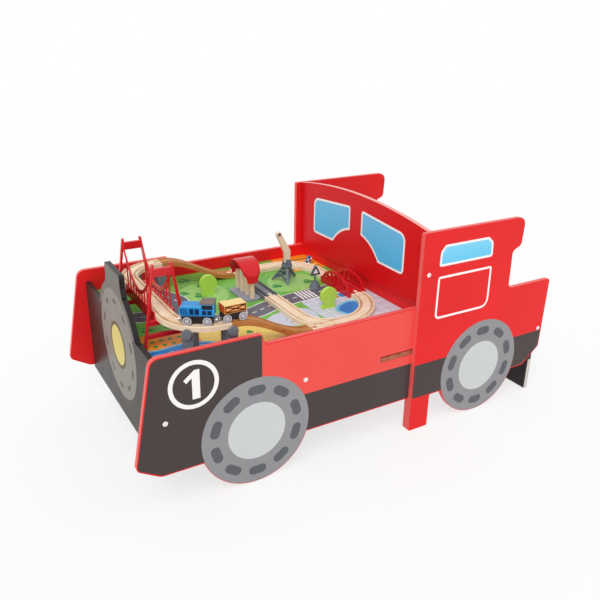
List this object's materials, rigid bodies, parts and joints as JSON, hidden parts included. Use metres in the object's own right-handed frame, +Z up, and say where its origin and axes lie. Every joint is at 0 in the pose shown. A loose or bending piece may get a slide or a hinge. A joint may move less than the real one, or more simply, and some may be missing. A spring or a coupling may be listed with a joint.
{
  "type": "train table",
  "caption": "Child's play table shaped like a locomotive: boarded hood with a sunk play board and wooden railway, and an open cab with a seat.",
  "frame": {"origin": "on the floor, under the middle of the table's box", "axes": "+Z up; the locomotive points along -X; its near side is -Y"},
  "size_m": [1.1514, 0.5984, 0.5519],
  "materials": {
    "red_board": "red satin paint on fibreboard with printed panels",
    "dark_board": "dark brown-grey satin paint on fibreboard",
    "bare_wood": "bare beech, sanded",
    "play_print": "printed landscape under clear lacquer",
    "steel": "zinc plated",
    "cap_plastic": "pale moulded plastic",
    "track_wood": "bare beech, sanded",
    "ramp_wood": "stained beech",
    "grey_plastic": "moulded, slightly rough",
    "red_plastic": "moulded, glossy",
    "green_wood": "lime green satin paint",
    "blue_wood": "blue satin paint",
    "roof_wood": "pale satin lacquer",
    "black_plastic": "moulded, slightly rough",
    "wheel_plastic": "moulded, satin",
    "orange_wood": "orange satin paint"
  },
  "bodies": {
    "table": {"hood_panel_near": "red_board", "hood_panel_far": "red_board", "cab_panel_near": "red_board", "cab_panel_far": "red_board", "windshield_panel": "red_board", "dash_wall": "red_board", "seat_board": "red_board", "front_panel": "dark_board", "rear_board": "dark_board", "shelf_board": "bare_wood", "cross_beam": "bare_wood", "board_battens": "bare_wood", "seat_cleats": "bare_wood", "play_board": "play_print", "cross_bolts": "steel", "barrel_nuts": "steel", "lap_screws": "steel", "batten_screws": "steel", "crane_pivot_pin": "steel", "bolt_caps": "cap_plastic", "near_raised_curve": "track_wood", "near_switch": "track_wood", "right_near_curve": "track_wood", "right_far_straight": "track_wood", "right_far_curve": "track_wood", "far_switch": "track_wood", "far_raised_curve": "track_wood", "link_track": "track_wood", "bridge_deck": "track_wood", "station_posts": "track_wood", "near_ramp": "ramp_wood", "far_ramp": "ramp_wood", "level_crossing": "grey_plastic", "track_piers": "grey_plastic", "station_base": "grey_plastic", "triangle_sign": "grey_plastic", "crane_stand": "grey_plastic", "crane_head": "grey_plastic", "girder_deck": "red_plastic", "girder_sides": "red_plastic", "bridge_towers": "red_plastic", "bridge_sides": "red_plastic", "station_roof": "red_plastic", "trees": "green_wood", "flag_sign": "blue_wood"},
    "engine": {"engine_chassis": "black_plastic", "engine_body": "blue_wood", "engine_roof": "roof_wood", "engine_couplers": "steel"},
    "engine_front_axle": {"engine_front_wheels": "wheel_plastic"},
    "engine_rear_axle": {"engine_rear_wheels": "wheel_plastic"},
    "wagon": {"wagon_chassis": "black_plastic", "wagon_crate": "orange_wood", "wagon_couplers": "steel"},
    "wagon_front_axle": {"wagon_front_wheels": "wheel_plastic"},
    "wagon_rear_axle": {"wagon_rear_wheels": "wheel_plastic"},
    "boom": {"crane_boom": "track_wood", "boom_tip_pin": "steel"}
  },
  "joints": [
    {"name": "engine_travel", "type": "hinge", "parent": "table", "child": "engine", "pos_m": [-0.35217, -0.13, 0.3878], "axis": [0, 0, 1], "range_deg": [-12, 2]},
    {"name": "wagon_travel", "type": "slide", "parent": "table", "child": "wagon", "axis": [1, 0, 0], "range_m": [-0.01935, 0.00364]},
    {"name": "engine_front_spin", "type": "hinge", "parent": "engine", "child": "engine_front_axle", "pos_m": [-0.41638, -0.19312, 0.3878], "axis": [-0.5299, -0.848, 0], "range_deg": [-19.9, 114.7]},
    {"name": "engine_rear_spin", "type": "hinge", "parent": "engine", "child": "engine_rear_axle", "pos_m": [-0.38076, -0.21538, 0.3878], "axis": [-0.5299, -0.848, 0], "range_deg": [-19.9, 114.7]},
    {"name": "wagon_front_spin", "type": "hinge", "parent": "wagon", "child": "wagon_front_axle", "pos_m": [-0.34517, -0.22, 0.3878], "axis": [0, -1, 0], "range_deg": [-19.9, 114.7]},
    {"name": "wagon_rear_spin", "type": "hinge", "parent": "wagon", "child": "wagon_rear_axle", "pos_m": [-0.30917, -0.22, 0.3878], "axis": [0, -1, 0], "range_deg": [-19.9, 114.7]},
    {"name": "boom_luff", "type": "hinge", "parent": "table", "child": "boom", "pos_m": [-0.01417, 0.104, 0.358], "axis": [0, -1, 0], "range_deg": [-20, 45]}
  ],
  "couplings": [
    {"joint": "wagon_travel", "follows": "engine_travel", "m_per_rad": 0.09},
    {"joint": "engine_front_spin", "follows": "engine_travel", "ratio": -9.4737},
    {"joint": "engine_rear_spin", "follows": "engine_travel", "ratio": -9.4737},
    {"joint": "wagon_front_spin", "follows": "engine_travel", "ratio": -9.4737},
    {"joint": "wagon_rear_spin", "follows": "engine_travel", "ratio": -9.4737}
  ]
}
